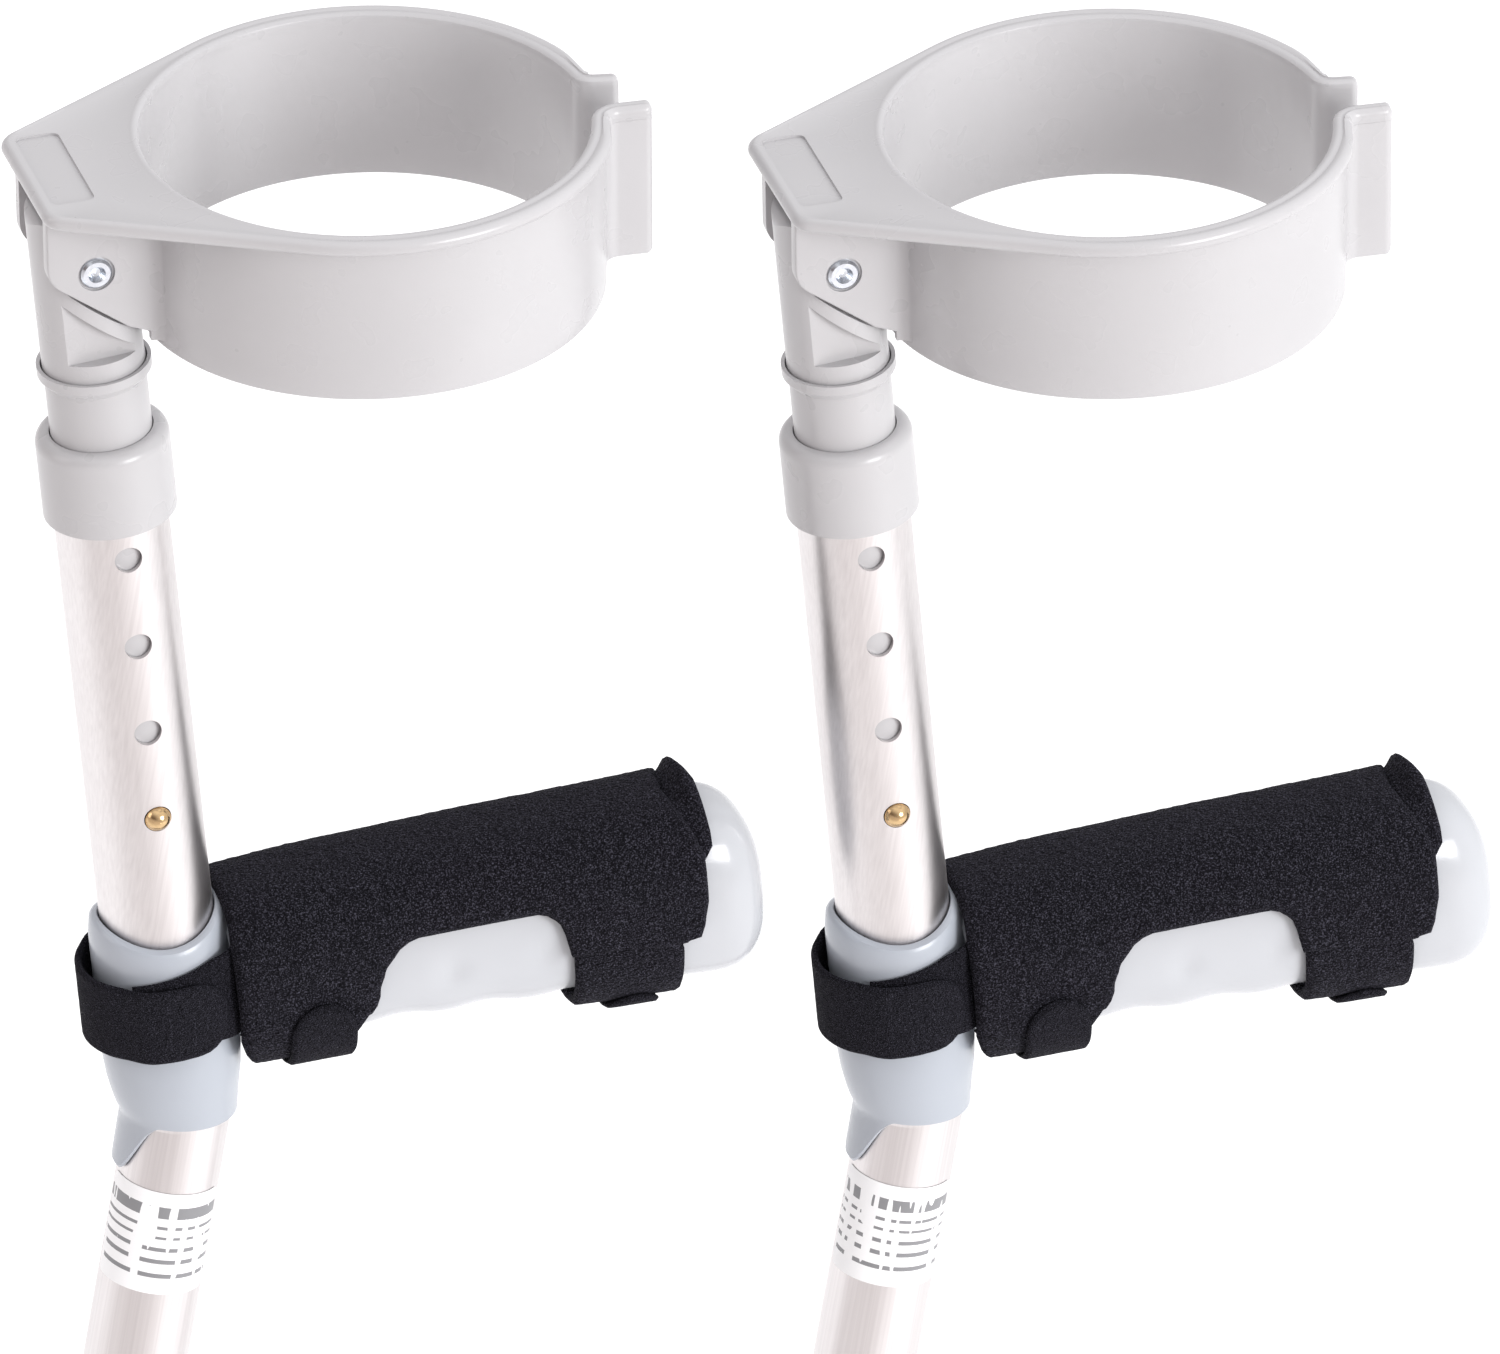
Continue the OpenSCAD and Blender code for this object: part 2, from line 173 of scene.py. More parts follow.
# The studio by compass direction, in degrees from the front and positive to the right
ROOM = [
    (-180, (0.80, 0.79, 0.80)),
    (-125, (0.72, 0.70, 0.70)),
    (-85, (0.40, 0.34, 0.33)),
    (-55, (0.20, 0.155, 0.145)),
    (-22, (0.24, 0.19, 0.18)),
    (-4, (0.45, 0.42, 0.42)),
    (20, (0.85, 0.84, 0.85)),
    (60, (1.0, 1.0, 1.0)),
    (120, (1.0, 1.0, 1.0)),
    (180, (0.80, 0.79, 0.80)),
]
coords = wn.new("ShaderNodeTexCoord")
compass = wn.new("ShaderNodeMath")
compass.operation = "ARCTAN2"
wl.new(dot_with(Vector((right.x, right.y, 0)).normalized()), compass.inputs[0])
wl.new(dot_with(Vector((back.x, back.y, 0)).normalized()), compass.inputs[1])
degrees = wn.new("ShaderNodeMath")
degrees.operation = "DEGREES"
wl.new(compass.outputs["Value"], degrees.inputs[0])
around = colour_ramp(degrees.outputs["Value"], -180, 180, ROOM)
ceiling = colour_ramp(dot_with((0, 0, 1)), 0, 1, [(0, (0, 0, 0)), (0.35, (0.1, 0.1, 0.1)), (0.9, (1, 1, 1))])
room = wn.new("ShaderNodeMix")
room.data_type = "RGBA"
wl.new(ceiling, room.inputs[0])
wl.new(around, room.inputs[6])
room.inputs[7].default_value = (1.5, 1.5, 1.52, 1)
wl.new(room.outputs[2], wn["Background"].inputs["Color"])
wn["Background"].inputs["Strength"].default_value = 0.95

# ---- Materials ----


def material(name, base, roughness, metallic=0.0, sheen=0.0, specular=0.5):
    """A Principled material. Returns it with its shader, its nodes and its links."""
    mat = bpy.data.materials.new(name)
    mat.use_nodes = True
    nodes, links = mat.node_tree.nodes, mat.node_tree.links
    shader = nodes["Principled BSDF"]
    shader.inputs["Base Color"].default_value = (*base, 1)
    shader.inputs["Roughness"].default_value = roughness
    shader.inputs["Metallic"].default_value = metallic
    shader.inputs["Sheen Weight"].default_value = sheen
    shader.inputs["Specular IOR Level"].default_value = specular
    return mat, shader, nodes, links


def texture(nodes, links, kind, scale, stretch=(1, 1, 1), turn=(0, 0, 0), **settings):
    """A 3-D texture in the piece's own space, its scale in features per metre."""
    where = nodes.new("ShaderNodeTexCoord")
    mapping = nodes.new("ShaderNodeMapping")
    mapping.inputs["Scale"].default_value = stretch
    mapping.inputs["Rotation"].default_value = turn
    tex = nodes.new(kind)
    tex.inputs["Scale"].default_value = scale
    for key, value in settings.items():
        tex.inputs[key].default_value = value
    links.new(where.outputs["Object"], mapping.inputs["Vector"])
    links.new(mapping.outputs["Vector"], tex.inputs["Vector"])
    return tex


def tint(nodes, links, shader, factor, low, high, socket="Base Color"):
    """Drives the base colour, or the roughness, between two values by a factor."""
    blend = nodes.new("ShaderNodeValToRGB")
    blend.color_ramp.elements[0].position = 0.3
    blend.color_ramp.elements[1].position = 0.7
    if not isinstance(low, tuple):
        low, high = (low,) * 3, (high,) * 3
    blend.color_ramp.elements[0].color = (*low, 1)
    blend.color_ramp.elements[1].color = (*high, 1)
    links.new(factor, blend.inputs["Fac"])
    links.new(blend.outputs["Color"], shader.inputs[socket])


def bump(nodes, links, shader, height, distance, strength=1.0, under=None):
    """Bump of a depth in metres, over an earlier one if that is given."""
    node = nodes.new("ShaderNodeBump")
    node.inputs["Distance"].default_value = distance
    node.inputs["Strength"].default_value = strength
    links.new(height, node.inputs["Height"])
    if under is not None:
        links.new(under.outputs["Normal"], node.inputs["Normal"])
    links.new(node.outputs["Normal"], shader.inputs["Normal"])
    return node


def moulded(name, base, roughness):
    """Moulded plastic: faint clouding, a fine grain and slightly uneven gloss."""
    mat, shader, nodes, links = material(name, base, roughness)
    cloud = texture(nodes, links, "ShaderNodeTexNoise", 38, Detail=3)
    dark, light = (tuple(c * share for c in base) for share in (0.99, 1.01))
    tint(nodes, links, shader, cloud.outputs["Fac"], dark, light)
    gloss = texture(nodes, links, "ShaderNodeTexNoise", 90, Detail=2)
    tint(nodes, links, shader, gloss.outputs["Fac"], roughness - 0.012, roughness + 0.012, "Roughness")
    grit = texture(nodes, links, "ShaderNodeTexNoise", 2600, Detail=2)
    bump(nodes, links, shader, grit.outputs["Fac"], 0.00001)
    return mat


def drawn_alloy(name, turn):
    """Drawn and anodised aluminium: fine lines along the tube and soft gloss."""
    mat, shader, nodes, links = material(name, (0.67, 0.64, 0.64), 0.3, metallic=1.0)
    lines = texture(nodes, links, "ShaderNodeTexNoise", 1500, stretch=(1, 1, 0.012), turn=turn, Detail=4)
    tint(nodes, links, shader, lines.outputs["Fac"], (0.63, 0.60, 0.60), (0.70, 0.67, 0.67))
    patches = texture(nodes, links, "ShaderNodeTexNoise", 55, Detail=3)
    tint(nodes, links, shader, patches.outputs["Fac"], 0.33, 0.38, "Roughness")
    bump(nodes, links, shader, lines.outputs["Fac"], 0.000008)
    return mat


def metal(name, base, roughness):
    """Bare or plated metal with small duller spots."""
    mat, shader, nodes, links = material(name, base, roughness, metallic=1.0)
    spots = texture(nodes, links, "ShaderNodeTexNoise", 900, Detail=5)
    tint(nodes, links, shader, spots.outputs["Fac"], tuple(c * 0.86 for c in base), base)
    tint(nodes, links, shader, spots.outputs["Fac"], roughness * 0.8, roughness * 1.3, "Roughness")
    bump(nodes, links, shader, spots.outputs["Fac"], 0.000015)
    return mat


def terry(name, scale=1150):
    """Black looped pile: cells of yarn with light flecks, partly yarn tone and partly painted glints, a soft
    sheen and a deep bump.
    """
    mat, shader, nodes, links = material(name, (0.007, 0.0065, 0.009), 0.9, sheen=0.02, specular=0.08)
    shader.inputs["Sheen Roughness"].default_value = 0.5
    shader.inputs["Sheen Tint"].default_value = (0.75, 0.72, 0.95, 1)
    loops = texture(nodes, links, "ShaderNodeTexVoronoi", scale, stretch=(0.75, 1, 1.15), turn=(0, 0.6, 0))
    yarn_fleck_and_glint = texture(nodes, links, "ShaderNodeTexNoise", scale * 2.3, Detail=2)
    # Light flecks in the base colour: partly the yarn's own tone, partly painted glints off the loop tips
    colour = nodes.new("ShaderNodeValToRGB")
    colour.color_ramp.elements[0].position = 0.5
    colour.color_ramp.elements[0].color = (0.0035, 0.0032, 0.005, 1)
    colour.color_ramp.elements[1].position = 0.76
    colour.color_ramp.elements[1].color = (0.07, 0.068, 0.09, 1)
    links.new(yarn_fleck_and_glint.outputs["Fac"], colour.inputs["Fac"])
    links.new(colour.outputs["Color"], shader.inputs["Base Color"])
    pile = bump(nodes, links, shader, loops.outputs["Distance"], 0.0009, 0.9)
    ruffle = texture(nodes, links, "ShaderNodeTexNoise", 420, Detail=3)
    bump(nodes, links, shader, ruffle.outputs["Fac"], 0.0012, 0.8, under=pile)
    return mat


def rubber(name):
    """Dusty grey rubber with a fine grit."""
    mat, shader, nodes, links = material(name, (0.20, 0.20, 0.21), 0.62)
    dust = texture(nodes, links, "ShaderNodeTexNoise", 160, Detail=4)
    tint(nodes, links, shader, dust.outputs["Fac"], (0.17, 0.17, 0.175), (0.24, 0.24, 0.245))
    tint(nodes, links, shader, dust.outputs["Fac"], 0.55, 0.72, "Roughness")
    grit = texture(nodes, links, "ShaderNodeTexNoise", 1800, Detail=3)
    bump(nodes, links, shader, grit.outputs["Fac"], 0.00004)
    return mat


def printed_film(name):
    """White film with rows of grey bars where its print is."""
    mat, shader, nodes, links = material(name, (0.84, 0.84, 0.85), 0.42)
    where = nodes.new("ShaderNodeTexCoord")
    split = nodes.new("ShaderNodeSeparateXYZ")
    rows = nodes.new("ShaderNodeValToRGB")
    rows.color_ramp.interpolation = "CONSTANT"
    bars = ((0.16, 0.20), (0.30, 0.34), (0.42, 0.46), (0.54, 0.57), (0.64, 0.67), (0.75, 0.86))
    for low, high in bars:
        rows.color_ramp.elements.new(low).color = (1, 1, 1, 1)
        rows.color_ramp.elements.new(high).color = (0, 0, 0, 1)
    rows.color_ramp.elements[0].color = (0, 0, 0, 1)
    rows.color_ramp.elements[-1].color = (0, 0, 0, 1)
    links.new(where.outputs["Generated"], split.inputs["Vector"])
    links.new(split.outputs["Z"], rows.inputs["Fac"])
    words = texture(nodes, links, "ShaderNodeTexNoise", 420, stretch=(1, 1, 0.12), Detail=1)
    breaks = nodes.new("ShaderNodeMath")
    breaks.operation = "GREATER_THAN"
    breaks.inputs[1].default_value = 0.46
    links.new(words.outputs["Fac"], breaks.inputs[0])
    ink = nodes.new("ShaderNodeMath")
    ink.operation = "MULTIPLY"
    links.new(rows.outputs["Color"], ink.inputs[0])
    links.new(breaks.outputs["Value"], ink.inputs[1])
    colour = nodes.new("ShaderNodeMix")
    colour.data_type = "RGBA"
    colour.inputs[6].default_value = (0.84, 0.84, 0.85, 1)
    colour.inputs[7].default_value = (0.22, 0.22, 0.23, 1)
    links.new(ink.outputs["Value"], colour.inputs[0])
    links.new(colour.outputs[2], shader.inputs["Base Color"])
    wrinkle = texture(nodes, links, "ShaderNodeTexNoise", 60, Detail=2)
    bump(nodes, links, shader, wrinkle.outputs["Fac"], 0.0002, 0.3)
    return mat


lean = math.atan2(-joints["left_post_slide"]["axis"][0], joints["left_post_slide"]["axis"][2])
cuff_plastic = moulded("cuff_plastic", (0.46, 0.452, 0.462), 0.28)
hub_plastic = moulded("hub_plastic", (0.37, 0.395, 0.44), 0.26)
grip_plastic = moulded("grip_plastic", (0.45, 0.46, 0.485), 0.18)
tube_alloy = drawn_alloy("tube_alloy", (0, lean, 0))
leg_alloy = drawn_alloy("leg_alloy", (0, 0, 0))
zinc = metal("zinc_plate", (0.72, 0.76, 0.82), 0.22)
brass = metal("brass", (0.62, 0.43, 0.23), 0.2)
blue_steel = metal("spring_steel", (0.33, 0.34, 0.37), 0.3)
terry_black = terry("terry_black")
hook_black = terry("hook_and_loop_black", 2100)
foot_rubber = rubber("foot_rubber")
label_film = printed_film("label_film")

floor_mat, floor_shader, floor_nodes, floor_links = material("floor", (0.95, 0.95, 0.95), 0.9, specular=0.0)
floor_shader.inputs["Emission Color"].default_value = (1, 1, 1, 1)
floor_shader.inputs["Emission Strength"].default_value = 0.06
# Painted shade on the floor: it fades to a pale warm grey in front on the left, which the glossy pieces
# mirror as dark reflections
floor_where = floor_nodes.new("ShaderNodeTexCoord")
floor_turn = floor_nodes.new("ShaderNodeMapping")
floor_turn.inputs["Rotation"].default_value = (0, 0, math.radians(-235))
floor_turn.inputs["Location"].default_value = (-0.35, 0, 0)
floor_shade_fade = floor_nodes.new("ShaderNodeTexGradient")
floor_shade_fade.gradient_type = "EASING"
floor_white_to_painted_shade = floor_nodes.new("ShaderNodeValToRGB")
floor_white_to_painted_shade.color_ramp.elements[0].color = (0.97, 0.97, 0.97, 1)
floor_white_to_painted_shade.color_ramp.elements[1].color = (0.58, 0.545, 0.535, 1)
floor_links.new(floor_where.outputs["Object"], floor_turn.inputs["Vector"])
floor_links.new(floor_turn.outputs["Vector"], floor_shade_fade.inputs["Vector"])
floor_links.new(floor_shade_fade.outputs["Fac"], floor_white_to_painted_shade.inputs["Fac"])
floor_links.new(floor_white_to_painted_shade.outputs["Color"], floor_shader.inputs["Base Color"])
floor_mesh = bpy.data.meshes.new("floor")
floor_mesh.from_pydata([(-30, -30, 0), (30, -30, 0), (30, 30, 0), (-30, 30, 0)], [], [(0, 1, 2, 3)])
floor_mesh.materials.append(floor_mat)
floor = bpy.data.objects.new("floor", floor_mesh)
scene.collection.objects.link(floor)
floor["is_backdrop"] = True

# ---- Mesh helpers: points are in millimetres of one frame ----


def smooth(t):
    """Runs from 0 to 1 with flat ends."""
    t = min(max(t, 0), 1)
    return t * t * (3 - 2 * t)


def shade(piece, sharp):
    """Smooth shading, but for edges sharper than an angle in degrees."""
    piece.data.shade_smooth()
    piece.data.set_sharp_from_angle(angle=math.radians(sharp))


def new_piece(name, points, faces, place, mat, sharp=35):
    """A piece from points of the frame `place`, with its normals outwards."""
    mesh = bpy.data.meshes.new(name)
    mesh.from_pydata([place @ Vector(p) for p in points], [], faces)
    shape = bmesh.new()
    shape.from_mesh(mesh)
    bmesh.ops.recalc_face_normals(shape, faces=shape.faces)
    shape.to_mesh(mesh)
    shape.free()
    mesh.materials.append(mat)
    piece = bpy.data.objects.new(name, mesh)
    scene.collection.objects.link(piece)
    shade(piece, sharp)
    return piece


def loft(rows, ring=False, capped=False):
    """Points and faces of a surface through closed rows that have as many points each."""
    n = len(rows[0])
    points = [p for row in rows for p in row]
    faces = []
    for i in range(len(rows) if ring else len(rows) - 1):
        a, b = i * n, (i + 1) % len(rows) * n
        faces += [(a + j, a + (j + 1) % n, b + (j + 1) % n, b + j) for j in range(n)]
    if capped:
        faces += [tuple(range(n)), tuple(range((len(rows) - 1) * n, len(rows) * n))]
    return points, faces


def prism(outline, place):
    """A solid between two copies of an outline, each put in place by place(x, y, end)."""
    return loft([[place(x, y, end) for x, y in outline] for end in (0, 1)], capped=True)


def arc(centre, r, start, stop, steps=8):
    """Points on an arc, its angles in degrees."""
    angles = [math.radians(start + (stop - start) * i / steps) for i in range(steps + 1)]
    return [(centre[0] + r * math.cos(a), centre[1] + r * math.sin(a)) for a in angles]


def join_meshes(pieces):
    """Adds the meshes of the other pieces to the first one's."""
    shape = bmesh.new()
    for piece in pieces:
        shape.from_mesh(piece.data)
    shape.to_mesh(pieces[0].data)
    shape.free()
    for piece in pieces[1:]:
        bpy.data.objects.remove(piece)
    return pieces[0]


def settle(piece):
    """Turns a piece's modifiers into its mesh."""
    graph = bpy.context.evaluated_depsgraph_get()
    mesh = bpy.data.meshes.new_from_object(piece.evaluated_get(graph))
    piece.modifiers.clear()
    piece.data = mesh


def combine(piece, tool, operation):
    """Adds the tool to the piece or cuts it out, and removes the tool."""
    cut = piece.modifiers.new(operation.lower(), "BOOLEAN")
    cut.operation = operation
    cut.solver = "EXACT"
    cut.object = tool
    settle(piece)
    bpy.data.objects.remove(tool)


# ---- Cuff: one wall swept round the arm, curled out at the split, with a plate, two cheeks and a badge ----

CUFF_R = 56
CUFF_H = 45
CUFF_WALL = 3.2
CUFF_DRAFT = 0.5
RIM_R = 61.5
PLATE_BACK = -87.5
PLATE_CORNER = Vector((-81.5, 18))
PLATE_CORNER_R = 6
NEAR_END = 345
FAR_END = 8.7
LIP_REACH = 3.8
CHEEK_IN = 11
CHEEK_OUT = 14.5


def rim_reach(angle):
    """How far the plate reaches from the cuff's axis in one direction: round, drawn out to a blunt back."""
    d = Vector((math.cos(angle), abs(math.sin(angle))))
    corner, r = PLATE_CORNER, PLATE_CORNER_R
    tangent = math.atan2(corner.y, corner.x) - math.acos((RIM_R - r) / corner.length)
    normal = Vector((math.cos(tangent), math.sin(tangent)))
    turn = math.atan2(d.y, d.x)
    end = corner + normal * r
    if turn < tangent:
        return RIM_R
    if turn < math.atan2(end.y, end.x):
        return RIM_R / d.dot(normal)
    if turn < math.atan2(corner.y, PLATE_BACK):
        along = corner.dot(d)
        return along + math.sqrt(r * r - corner.length_squared + along * along)
    return PLATE_BACK / d.x


def wall_outline(reach, low):
    """The wall's section, as offsets from its inner face and heights: bead, plate, rolled edge, fillet."""
    t = CUFF_WALL
    levels = [low + 0.6 + (-4.6 - low) * i / 8 for i in range(9)]
    inner = [(0.6, low), (0.15, low + 0.15)] + [(0, z) for z in levels]
    bead = [(-0.12, -2.9), (-0.3, -2.1), (-0.35, -1.3), (-0.15, -0.6), (0.4, -0.15), (1.0, 0), (1.6, -0.1)]
    flat_to = max(reach - 3.0, 2.5)
    plate = [(2.2, -0.3), (2.3 + (flat_to - 2.3) * 0.5, -0.35), (flat_to, -0.3)]
    turns = [math.pi * i / 10 for i in range(11)]
    roll = [(reach - 2 + 2 * math.sin(a), -2 + 2 * math.cos(a)) for a in turns]
    roll = [(max(n, t) if z < -2 else max(n, flat_to + 0.1), z) for n, z in roll]
    fillet = min(2, max(reach - t - 1.9, 0.08))
    under = [(t + fillet - fillet * math.sin(a), -4.05 - fillet + fillet * math.cos(a)) for a in turns[:6]]
    outer = [(t, low + 0.6 + (-7.2 - low) * i / 8) for i in range(8, -1, -1)]
    foot = [(t - 0.15, low + 0.15), (t - 0.6, low)]
    return inner + bead + plate + roll + under + outer + foot


def wall_row(point, normal, draft, reach, low, squeeze=1.0):
    """One section of the wall in the cuff's frame. Squeeze below 1 rounds it off towards a tip."""
    middle = CUFF_WALL / 2
    top_cut = -2.5 * (1 - squeeze)
    row = []
    for n, z in wall_outline(reach, low):
        n = middle + (n - middle) * squeeze
        z = min(max(z, low - top_cut), top_cut)
        flat = point + normal * n - draft * (CUFF_DRAFT * -z / CUFF_H)
        row.append((flat.x, flat.y, z))
    return row


def curl(end, way, radius, turn, straight):
    """Rows that curl outwards from one end of the band to a rounded tip."""
    a = math.radians(end)
    out = Vector((math.cos(a), math.sin(a)))
    along = Vector((-math.sin(a), math.cos(a))) * way
    rows = []
    for i in range(1, 15):
        b = math.radians(turn) * i / 14
        normal = out * math.cos(b) - along * math.sin(b)
        point = out * (CUFF_R + radius) - normal * radius
        reach = LIP_REACH + 1.1 * (1 - smooth(i / 7))
        rows.append(wall_row(point, normal, out, reach, -CUFF_H + 3 * smooth(i / 4)))
    heading = along * math.cos(b) + out * math.sin(b)
    for i in range(1, 4):
        rows.append(wall_row(point + heading * straight * i / 3, normal, out, LIP_REACH, -CUFF_H + 3))
    for i in range(1, 7):
        x = math.sin(math.radians(14 * i))
        tip = point + heading * (straight + 1.9 * x)
        rows.append(wall_row(tip, normal, out, LIP_REACH, -CUFF_H + 3, math.sqrt(1 - x * x)))
    return rows


def cuff_band():
    """The wall from lip to lip, in short steps where the plate's corners are."""
    angles = []
    angle = FAR_END
    while angle < NEAR_END:
        angles.append(angle)
        at_corner = 8 < abs(angle - 180) < 22
        angle += 0.5 if at_corner else 1.5
    rows = []
    for angle in angles + [NEAR_END]:
        a = math.radians(angle)
        out = Vector((math.cos(a), math.sin(a)))
        near_split = max(1 - (angle - FAR_END) / 14, 1 - (NEAR_END - angle) / 14, 0)
        reach = rim_reach(a) - CUFF_R - 1.1 * smooth(near_split)
        rows.append(wall_row(out * CUFF_R, out, out, reach, -CUFF_H))
    far = curl(FAR_END, -1, 6, 70, 4)
    near = curl(NEAR_END, 1, 7.5, 80, 6.5)
    return loft(far[::-1] + rows + near, capped=True)


def cheek_outline():
    """The cheek's outline from the rivet: round back, slanting lower edge, and a front inside the band."""
    slant = math.radians(37)
    corner, r = (-4.4, 3), 8
    touch = (corner[0] - r * math.sin(slant), corner[1] - r * math.cos(slant))
    nose = (touch[0] + 21.5 * math.cos(slant), touch[1] - 21.5 * math.sin(slant))
    return [(24, -23), (24, 19.5), (-12.4, 19.5)] + arc(corner, r, 180, 233) + [nose]


def cheek(side, place, mat):
    """One cheek with a bevelled outer face."""

    def put(x, z, end):
        return (RIVET_X + x, side * (CHEEK_IN if end else CHEEK_OUT), RIVET_Z + z)

    points, faces = prism(cheek_outline(), put)
    piece = new_piece("cheek", points, faces, place, mat)
    shape = bmesh.new()
    shape.from_mesh(piece.data)
    outer = max(shape.faces, key=lambda f: len(f.verts) * 10 + f.calc_center_median().y * side)
    bmesh.ops.bevel(shape, geom=list(outer.edges), offset=0.5 * MM, segments=3, profile=0.5, affect="EDGES")
    shape.to_mesh(piece.data)
    shape.free()
    return piece


def cheek_fillet(side, place, mat):
    """The hollow fillet where a cheek meets the band."""
    r = 3.5
    root_y = 12.5
    rows = []
    for i in range(9):
        z = -43 + 40.5 * i / 8
        outer = CUFF_R + CUFF_WALL - CUFF_DRAFT * -z / CUFF_H
        y = CHEEK_OUT + r
        x = -math.sqrt((outer + r) ** 2 - y * y)
        end = math.degrees(math.atan2(y, -x))
        hollow = arc((x, -y), r, 90, end, 10)
        tip = Vector(hollow[-1]).normalized() * (outer - 1)
        root = (-math.sqrt((outer - 1) ** 2 - root_y**2), -root_y)
        row = [(x, -root_y)] + hollow + [tuple(tip), root]
        rows.append([(px, -side * py, z) for px, py in row])
    points, faces = loft(rows, capped=True)
    return new_piece("fillet", points, faces, place, mat)


def cone_inside():
    """What the band holds, with its draft, to trim the cheeks with."""
    turns = [math.tau * i / 180 for i in range(180)]
    widening = CUFF_DRAFT * 10 / CUFF_H
    low = (CUFF_R - CUFF_DRAFT + 1.5 - widening, -CUFF_H - 10)
    high = (CUFF_R + 1.5 + widening, 10)
    return loft([[(r * math.cos(a), r * math.sin(a), z) for a in turns] for r, z in (low, high)], capped=True)


def make_cuff(name, place, mat):
    points, faces = cuff_band()
    band = new_piece(name, points, faces, place, mat)
    for side in (-1, 1):
        part = cheek(side, place, mat)
        combine(part, new_piece("cone", *cone_inside(), place, mat), "DIFFERENCE")
        combine(part, cheek_fillet(side, place, mat), "UNION")
        combine(band, part, "UNION")

        def sunk(x, z, end):
            return (RIVET_X + x, side * (CHEEK_OUT + 3 if end else CHEEK_OUT - 0.8), RIVET_Z + z)

        points, faces = prism(arc((0, 0), 4.7, 0, 352.5, 47), sunk)
        combine(band, new_piece("sink", points, faces, place, mat), "DIFFERENCE")
    hole = prism(arc((0, 0), 2.5, 0, 352.5, 47), lambda x, z, end: (RIVET_X + x, 30 - 60 * end, RIVET_Z + z))
    combine(band, new_piece("hole", *hole, place, mat), "DIFFERENCE")
    badge = arc((-75, 18), 2, 0, 90) + arc((-82, 18), 2, 90, 180)
    badge += arc((-82, -13.5), 2, 180, 270) + arc((-75, -13.5), 2, 270, 360)
    recess = prism(badge, lambda x, y, end: (x + 0.5 * end, y, -0.95 + 3 * end))
    combine(band, new_piece("recess", *recess, place, mat), "DIFFERENCE")
    shade(band, 32)
    return band


# ---- Hub: one moulding on the bent axis, open at both ends, with a neck for the grip ----

HUB_R = 17.5
HUB_STEPS = 96
TUBE_SOCKET_R = 14.6
LEG_SOCKET_R = 13.4
# Height on the bent axis and outside radius there
HUB_STATIONS = (
    (-20, 14.6),
    (1.5, 14.8),
    (4, 15.2),
    (8, 16),
    (13, 16.9),
    (20, HUB_R),
    (54, HUB_R),
    (60, 16.6),
)


def hub_axis(h):
    """The axis point at a height along the bent axis, and how far the section there leans."""
    direction = Vector((0, 0, 1)) if h < 0 else Vector((-math.sin(lean), 0, math.cos(lean)))
    return direction * h, lean * smooth((h + 4) / 12)


def hub_low(turn):
    """The lower edge's height: level in front, down in an S to a tongue at the back."""
    from_back = abs(math.degrees(math.atan2(math.sin(turn), -math.cos(turn))))
    return -15.5 + 17 * smooth((from_back - 8) / 50)


def hub_high(turn):
    """The upper edge dips at both sides."""
    return 60 - 4.5 * math.sin(turn) ** 2


def hub_radius(h):
    for (h0, r0), (h1, r1) in zip(HUB_STATIONS, HUB_STATIONS[1:]):
        if h <= h1:
            return r0 + (r1 - r0) * (h - h0) / (h1 - h0)
    return HUB_STATIONS[-1][1]


def hub_row(height_at, radius_of):
    """A closed row round the bent axis, at a height that may change with the turn."""
    row = []
    for i in range(HUB_STEPS):
        turn = math.tau * i / HUB_STEPS
        h = height_at(turn)
        centre, tilt = hub_axis(h)
        r = radius_of(h)
        x, y = r * math.cos(turn), r * math.sin(turn)
        row.append((centre.x + x * math.cos(tilt), y, centre.z + x * math.sin(tilt)))
    return row


def make_hub(name, place, tube_place, mat):
    """Rows up the outside, over the rim and down the inside, joined in a ring, and the neck."""
    rows = [hub_row(hub_low, lambda h: hub_radius(h) - 0.5)]
    for i in range(1, 15):
        rows.append(hub_row(lambda turn: hub_low(turn) + (22 - hub_low(turn)) * (i - 0.8) / 13.2, hub_radius))
    for i in range(1, 10):
        rows.append(hub_row(lambda turn: 22 + (hub_high(turn) - 1.3 - 22) * i / 9, hub_radius))
    rows.append(hub_row(lambda turn: hub_high(turn) - 0.4, lambda h: hub_radius(h) - 0.4))
    rows.append(hub_row(hub_high, lambda h: 15.7))
    rows.append(hub_row(hub_high, lambda h: 14.9))
    rows.append(hub_row(lambda turn: hub_high(turn) - 0.4, lambda h: TUBE_SOCKET_R))
    for level, r in ((30, TUBE_SOCKET_R), (5.5, TUBE_SOCKET_R), (5, LEG_SOCKET_R)):
        rows.append(hub_row(lambda turn: level, lambda h: r))
    rows.append(hub_row(lambda turn: hub_low(turn) + 0.4, lambda h: LEG_SOCKET_R))
    rows.append(hub_row(hub_low, lambda h: 13.7))
    points, faces = loft(rows, ring=True)
    hub = new_piece(name, points, faces, place, mat)
    neck = [grip_row(q, -0.8 - 0.4 * (20.8 - q)) for q in (15.2, 17, 19, 20.8)]
    points, faces = loft(neck, capped=True)
    return join_meshes([hub, new_piece("neck", points, faces, tube_place, mat)])


# ---- Grip: a boxy loft with finger grooves, and the cloth that wraps it ----

# Distance from the tube's axis, top, underside and half width of the grip's section
GRIP_STATIONS = (
    (10, 57.5, 18, 15),
    (20, 58.5, 17.5, 16.3),
    (50, 58.5, 16, 17),
    (85, 58, 13, 17),
    (110, 57, 10.5, 17.3),
    (125, 56.5, 9.5, 17.8),
    (138, 56, 8, 18),
    (154, 54, 7.5, 18),
)
GRIP_END = 153.8
GRIP_ROUND = 16
GRIP_POWER = 2.7
GRIP_DIMPLES = ((70, 31), (95, 30.5))
GRIP_TURNS = 96
GRIP_START = 20.5
GROOVES = (46, 112)
GROOVE_PITCH = 22


